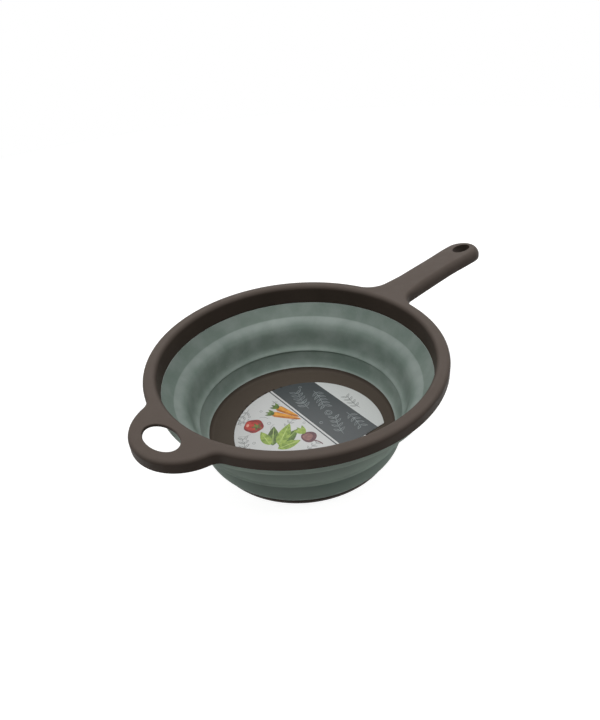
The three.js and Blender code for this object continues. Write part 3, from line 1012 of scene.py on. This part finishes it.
def leaf(size, width, bend=0.0, steps=14):
    """A pointed leaf along x from its stalk to its tip."""
    upper, lower = [], []
    for i in range(steps + 1):
        t = i / steps
        half = width / 2 * math.sin(math.pi * t ** 0.8) ** 0.9 if 0 < t < 1 else 0
        sag = bend * math.sin(math.pi * t)
        upper.append((size * t, sag + half))
        lower.append((size * t, sag - half))
    return [*upper, *reversed(lower[1:-1])]


def stroke(points, width):
    """A thin ribbon along a line of points, with pointed ends."""
    left, right = [], []
    for i, (x, y) in enumerate(points):
        before, after = points[max(i - 1, 0)], points[min(i + 1, len(points) - 1)]
        along = Vector((after[0] - before[0], after[1] - before[1])).normalized()
        half = width / 2 * (0.25 if i in (0, len(points) - 1) else 1)
        left.append((x - along.y * half, y + along.x * half))
        right.append((x + along.y * half, y - along.x * half))
    return [*left, *reversed(right)]


def bowed(start, end, bow, steps=8):
    """A shallow arc from one place to another."""
    start, end = Vector(start), Vector(end)
    side = Vector((start.y - end.y, end.x - start.x)).normalized() * bow
    middle = start.lerp(end, 0.5) + 2 * side
    return [tuple(p) for p in bezier([start, middle, end], steps)]


def blob(radius, lobes, wave, steps=40):
    """A round outline with a few shallow lobes."""
    points = []
    for i in range(steps):
        at = math.tau * i / steps
        r = radius * (1 + wave * math.cos(lobes * at))
        points.append((r * math.cos(at), r * math.sin(at)))
    return points


def carrot(size, width, steps=10):
    """A tapered root with a rounded shoulder."""
    side = []
    for i in range(steps + 1):
        t = i / steps
        side.append((size * t, width / 2 * (1 - t) ** 0.55 * min(1, (t + 0.04) * 12) ** 0.5))
    return [*side, *((x, -y) for x, y in reversed(side[:-1]))]


def sprig(at, turn, size, pairs, ink, width=0.45):
    """A line drawing of a twig with paired leaves."""
    drawn = [(placed(stroke(bowed((0, 0), (size, 0), size * 0.06), width), at, turn), ink)]
    for i in range(pairs):
        along = size * (i + 0.8) / (pairs + 0.4)
        for lean in (52, -52):
            outline = leaf(size * 0.27, size * 0.1)
            inner = [(x * 0.74 + size * 0.035, y * 0.45) for x, y in outline]
            root = placed([(along, size * 0.07)], at, turn)[0]
            drawn.append((placed(outline, root, turn + lean), ink))
            drawn.append((placed(inner, root, turn + lean), "under_" + ink))
    return drawn


def ring_line(at, radius, width, ink):
    """A thin drawn circle."""
    return [
        (placed(blob(radius, 1, 0, 24), at), ink),
        (placed(blob(radius - width, 1, 0, 24), at), "under_" + ink),
    ]


def label_outline(s):
    """A disc with one straight edge, in millimetres about the disc's middle."""
    radius = s.radius / mm
    corner = math.asin((radius - s.cut / mm) / radius)
    points = arc((0, 0), radius, radius, -corner, math.pi + corner, 160)
    points.append(Vector((-radius * math.cos(corner), -radius * math.sin(corner))))
    return [tuple(p) for p in points]


def strip_region(s, left, right):
    """The label's area between two lines across it, a little past its edge."""
    reach = 1.2 * s.radius / mm
    return [(left, -reach), (right, -reach), (right, reach), (left, reach)]


def vegetables():
    """Printed motifs on the white field: carrots, a beetroot, a tomato and loose leaves."""
    drawn = []
    for at, turn, size, width, ink in (
        ((-33, -2), 16, 26, 11, "leaf_dark"),
        ((-36, 3), 52, 24, 10, "leaf_dark"),
        ((-32, 0), 34, 28, 11, "leaf_light"),
        ((-35, -3), -12, 21, 9, "leaf_light"),
        ((-37, 5), 80, 19, 9, "leaf_light"),
    ):
        drawn.append((placed(leaf(size, width), at, turn), ink))
        drawn.append((placed(stroke([(1, 0), (size / 2, 0.2), (size - 2, 0)], 0.7), at, turn),
                      "leaf_vein"))
    for at, turn, size in (((-12, 36), -58, 27), ((-4, 40), -74, 24)):
        drawn.append((placed(carrot(size, 7.6), at, turn), "orange_deep"))
        drawn.append((placed(carrot(size * 0.9, 4.2), placed([(0.6, 1)], at, turn)[0], turn),
                      "orange_light"))
        for lean in (150, 180, 208):
            top = placed([(1.2, 0)], at, turn)[0]
            drawn.append((placed(leaf(8.5, 3), top, turn + lean), "leaf_dark"))
    for outline, at, turn, ink in (
        (blob(8.6, 5, 0.04), (-34, 34), 20, "red_deep"),
        (blob(6.0, 5, 0.05), (-35.2, 35.4), 20, "red_light"),
        (blob(1.5, 2, 0.3), (-37.6, 38.2), 40, "red_glint"),
        *((leaf(5, 1.9), (-32.4, 31.8), lean + 10, "leaf_dark") for lean in range(0, 360, 72)),
        (blob(6.6, 3, 0.05), (-7, -9), 0, "plum_deep"),
        (blob(4.3, 3, 0.06), (-7.6, -8.2), 0, "plum_light"),
        (stroke(bowed((-7, -15), (-4, -24), 1.2), 1.1), (0, 0), 0, "plum_deep"),
        *((leaf(11, 3.8), (-7, -3.4), lean, "leaf_light") for lean in (66, 92, 118)),
    ):
        drawn.append((placed(outline, at, turn), ink))
    return drawn


def line_work():
    """Thin grey drawings between the motifs."""
    drawn = []
    for at, turn, size, pairs in (
        ((-58, 8), 62, 22, 4), ((-24, 56), -160, 20, 3), ((-46, 46), -20, 14, 3),
        ((-17, 12), 20, 17, 3), ((-2, 52), -96, 13, 3), ((-20, -22), 8, 16, 3),
    ):
        drawn += sprig(at, turn, size, pairs, "grey")
    for at, radius in (
        ((-50, 24), 2.1), ((-46, 16), 1.4), ((-22, 28), 1.7), ((-18, 46), 1.3),
        ((-54, -4), 1.6), ((1, 8), 1.3), ((-30, 47), 1.2), ((-2, 20), 1.0),
    ):
        drawn += ring_line(at, radius, 0.4, "grey")
    for start, end, bow in (
        ((-60, -6), (-50, 4), 1.6), ((-52, 32), (-42, 27), -1.2), ((-26, 20), (-19, 24), 1.1),
        ((-24, 40), (-19, 33), 1.4), ((-12, 6), (-3, 2), 1.0), ((-40, 52), (-34, 56), 0.8),
    ):
        drawn.append((stroke(bowed(start, end, bow), 0.4), "grey"))
    return drawn


def band_work():
    """Faint pale drawings on the slate band and one grey drawing on the cap."""
    drawn = []
    for at, turn, size, pairs in (
        ((16, 20), 74, 28, 5), ((35, 38), -108, 27, 5), ((17, -26), 66, 25, 4),
        ((37, -6), -100, 24, 4),
    ):
        drawn += sprig(at, turn, size, pairs, "pale", 0.6)
    for at, radius in (((25, 4), 3.4), ((25, 4), 2.0), ((29, 50), 1.6), ((12, -2), 1.6)):
        drawn += ring_line(at, radius, 0.6, "pale")
    drawn += sprig((50, -10), 82, 22, 4, "grey", 0.7)
    return drawn


def label_areas(s):
    """Every printed area, bottom layer first: the card, the band, its lines and the motifs."""
    band_from, band_to, line = s.band_from / mm, s.band_to / mm, s.line_width / mm
    areas = [(label_outline(s), "white")]
    areas.append((strip_region(s, band_from, band_to), "slate"))
    areas.append((strip_region(s, band_from - 1.7 * line, band_from - line), "slate"))
    areas.append((strip_region(s, band_to, s.radius / mm + line), "cap"))
    return areas + line_work() + vegetables() + band_work()


def split_areas(areas):
    """Cuts overlapping areas into triangles. Gives the corners, and for each triangle the
    area that lies on top there."""
    corners, loops = [], []
    for outline, _ in areas:
        loop = list(range(len(corners), len(corners) + len(outline)))
        pairs = zip(outline, [*outline[1:], outline[0]])
        clockwise = sum(a[0] * b[1] - b[0] * a[1] for a, b in pairs) < 0
        loops.append(loop[::-1] if clockwise else loop)
        corners += [Vector(p) for p in outline]
    inside = 1
    points, _, faces, _, _, owners = delaunay_2d_cdt(corners, [], loops, inside, 1e-4)
    on_card = [(face, max(own)) for face, own in zip(faces, owners) if 0 in own]
    return points, on_card


# Two tones of each ink and the size of its mottling in millimetres
INKS = {
    "grey": ("drawn grey", "#6b6d6c", "#8d8f8e", 2),
    "pale": ("pale on slate", "#666d6f", "#858c8d", 3),
    "leaf_dark": ("dark leaf", "#3c4d1f", "#5d7a2c", 3),
    "leaf_light": ("light leaf", "#6a8430", "#96ac4d", 3),
    "leaf_vein": ("leaf vein", "#a9bc6c", "#bccb86", 2),
    "red_deep": ("deep red", "#6e1f1d", "#8f2621", 4),
    "red_light": ("red", "#9c2a22", "#b8402f", 4),
    "red_glint": ("red glint", "#d08a78", "#dca595", 1),
    "orange_deep": ("deep orange", "#99560f", "#b8701c", 4),
    "orange_light": ("orange", "#c8842a", "#d99a35", 4),
    "plum_deep": ("deep plum", "#4b2c34", "#643c41", 3),
    "plum_light": ("plum", "#7a5452", "#8f6a63", 3),
}


def inks(s):
    """The label's materials, by the names that its areas use."""
    slots = {
        "white": coated_card("Coated card, white", s.white),
        "cap": coated_card("Coated card, grey tint", s.cap),
        "slate": coated_card("Offset ink, slate", s.slate, 0.4),
    }
    for ink, (name, dark, light, grain) in INKS.items():
        slots[ink] = printed_ink("Offset ink, " + name, dark, light, grain)
    return slots


def ground_of(s, x):
    """What lies under a drawing's open middle: the card, the band or the cap."""
    if x > s.band_to / mm:
        return "cap"
    return "slate" if x > s.band_from / mm else "white"


def build_label(s):
    """The card, its top cut into one face for each bit of ink, its sides and its back."""
    areas = label_areas(s)
    points, faces = split_areas(areas)
    slots = inks(s)
    order = list(slots)
    mesh = bmesh.new()
    turn = Matrix.Rotation(s.turn, 3, "Z")
    middle = Vector((BOWL_X, -s.offset, LABEL_LOW.z))
    used = sorted({i for face, _ in faces for i in face})
    lower, upper = {}, {}
    for i in used:
        flat = turn @ Vector((points[i].x * mm, points[i].y * mm, 0)) + middle
        lower[i] = mesh.verts.new(flat)
        upper[i] = mesh.verts.new(flat + Vector((0, 0, s.thickness)))
    sides = {}
    for face, owner in faces:
        ink = areas[owner][1]
        if ink.startswith("under_"):
            ink = ground_of(s, sum(points[i].x for i in face) / len(face))
        mesh.faces.new([upper[i] for i in face]).material_index = order.index(ink)
        mesh.faces.new([lower[i] for i in reversed(face)]).material_index = 0
        for a, b in zip(face, [*face[1:], face[0]]):
            sides[a, b] = (b, a) not in sides
            if (b, a) in sides:
                sides[b, a] = False
    for (a, b), open_edge in sides.items():
        if open_edge:
            mesh.faces.new([lower[a], lower[b], upper[b], upper[a]]).material_index = 0
    data = bpy.data.meshes.new("printed_label")
    mesh.normal_update()
    mesh.to_mesh(data)
    mesh.free()
    piece = bpy.data.objects.new("printed_label", data)
    bpy.context.scene.collection.objects.link(piece)
    for name in order:
        data.materials.append(slots[name])
    return piece


class COLANDER_OT_label(Operator):
    """Builds the printed card label that lies on the floor"""

    bl_idname = "colander.label"
    bl_label = "Printed label"

    def execute(self, context):
        piece = build_label(context.scene.colander_label)
        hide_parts("paper_label")
        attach(piece, "base")
        return {"FINISHED"}


# Floor, lamps and camera


def light_by_ray(tree, plain, seen):
    """One strength for the light that falls on things, another for what is seen directly or
    in a reflection."""
    rays = add_node(tree, "LightPath").outputs
    direct = rays["Is Camera Ray"]
    for kind in ("Is Glossy Ray", "Is Transmission Ray"):
        direct = add_node(tree, "Math", {0: direct, 1: rays[kind]}, operation="MAXIMUM")
    return add_node(tree, "MapRange", {0: direct, 3: plain, 4: seen})


def white_room(strength):
    """The world: an even pale room, seen as plain white."""
    world = bpy.data.worlds.new("White room")
    world.use_nodes = True
    tree = world.node_tree
    tree.nodes.clear()
    white = add_node(tree, "Background", {
        "Color": (1, 1, 1), "Strength": light_by_ray(tree, strength, 1),
    })
    add_node(tree, "OutputWorld", {"Surface": white})
    bpy.context.scene.world = world


def white_floor(lift):
    """Matt white sweep: the camera sees it a little lifted, so that it clips to white and
    keeps only the object's own shadow."""
    material, tree, place = start_material("Painted board, matt white")
    clouds = add_node(tree, "TexNoise", {"Vector": place, "Scale": 1 / (300 * mm)})
    clouds = add_node(tree, "MapRange", {0: clouds, 1: 0.3, 2: 0.7})
    paint = add_node(
        tree, "Mix", {0: clouds, 6: srgb("#a2a2a0"), 7: srgb("#a6a6a4")},
        data_type="RGBA",
    )
    board = add_node(tree, "BsdfDiffuse", {"Color": paint})
    glow = add_node(tree, "Emission", {"Strength": light_by_ray(tree, 0, lift)})
    both = add_node(tree, "AddShader", {0: board, 1: glow})
    add_node(tree, "OutputMaterial", {"Surface": both})
    return material


def build_floor(s):
    """A wide round floor at the height that the foot ring stands on."""
    shell = Shell()
    shell.fill([shell.ring(circle((BOWL_X, 0), s.floor_radius, s.floor_radius, 96), 0)])
    floor = shell.finish("studio_floor")
    floor.data.materials.append(white_floor(s.floor_lift))


def add_box_light(name, place, size, power):
    """A soft square lamp that faces the bowl."""
    lamp = bpy.data.lights.new(name, "AREA")
    lamp.shape = "SQUARE"
    lamp.size = size
    lamp.energy = power
    holder = bpy.data.objects.new(name, lamp)
    holder.location = place
    target = Vector((BOWL_X, 0, RIM_HIGH.z / 2))
    holder.rotation_euler = (target - Vector(place)).to_track_quat("-Z", "Y").to_euler()
    bpy.context.scene.collection.objects.link(holder)


def build_camera(s):
    """The camera at the photograph's viewing angle, aimed near the middle of the rim's top."""
    lens = bpy.data.cameras.new("Camera")
    lens.sensor_width = 36
    lens.lens = s.lens
    lens.clip_start = 0.01
    camera = bpy.data.objects.new("Camera", lens)
    bpy.context.scene.collection.objects.link(camera)
    facing = Matrix.Rotation(s.view_turn, 4, "Z") @ Matrix.Rotation(
        math.pi / 2 - s.view_height, 4, "X",
    )
    target = Matrix.Translation((BOWL_X, 0, RIM_HIGH.z))
    back = Matrix.Translation((0, 0, s.distance))
    aim = (
        Matrix.Rotation(s.roll, 4, "Z")
        @ Matrix.Rotation(s.pan, 4, "Y")
        @ Matrix.Rotation(-s.tilt, 4, "X")
    )
    camera.matrix_world = target @ facing @ back @ aim
    bpy.context.scene.camera = camera


class COLANDER_OT_stage(Operator):
    """Sets up the white floor, the soft lamps and the camera"""

    bl_idname = "colander.stage"
    bl_label = "Floor, lamps and camera"

    def execute(self, context):
        s = context.scene.colander_stage
        context.scene.view_settings.view_transform = "Standard"
        build_camera(s)
        build_floor(s)
        white_room(s.surround)
        for name, place, power in (
            ("Overhead box", (0.04, 0.03, 1.87), s.overhead),
            ("Left box", (-1.17, 0.65, 1.55), s.left),
            ("Right box", (0.76, -1.1, 1.55), s.right),
            ("Front box", (-1.01, -1.11, 0.6), s.front),
            ("Back box", (0.87, 0.96, 1.1), s.back),
        ):
            add_box_light(name, Vector((BOWL_X, 0, 0)) + Vector(place), s.box_size, power)
        return {"FINISHED"}


class COLANDER_PT_sidebar(Panel):
    """Lists the colander's pieces in the 3D view's sidebar"""

    bl_label = "Colander"
    bl_idname = "COLANDER_PT_sidebar"
    bl_space_type = "VIEW_3D"
    bl_region_type = "UI"
    bl_category = "Colander"

    def draw(self, context):
        for operator in OPERATORS:
            self.layout.operator(operator.bl_idname)


OPERATORS = (
    COLANDER_OT_stage,
    COLANDER_OT_frame,
    COLANDER_OT_wall,
    COLANDER_OT_base,
    COLANDER_OT_label,
)
SETTINGS = {
    "colander_frame": FrameSettings,
    "colander_wall": WallSettings,
    "colander_base": BaseSettings,
    "colander_label": LabelSettings,
    "colander_stage": StageSettings,
}
CLASSES = (*SETTINGS.values(), *OPERATORS, COLANDER_PT_sidebar)


def register():
    for cls in CLASSES:
        bpy.utils.register_class(cls)
    for name, settings in SETTINGS.items():
        setattr(bpy.types.Scene, name, PointerProperty(type=settings))


def unregister():
    for name in SETTINGS:
        delattr(bpy.types.Scene, name)
    for cls in reversed(CLASSES):
        bpy.utils.unregister_class(cls)


def main():
    register()
    for operator in OPERATORS:
        group, name = operator.bl_idname.split(".")
        getattr(getattr(bpy.ops, group), name)()


if __name__ == "__main__":
    main()
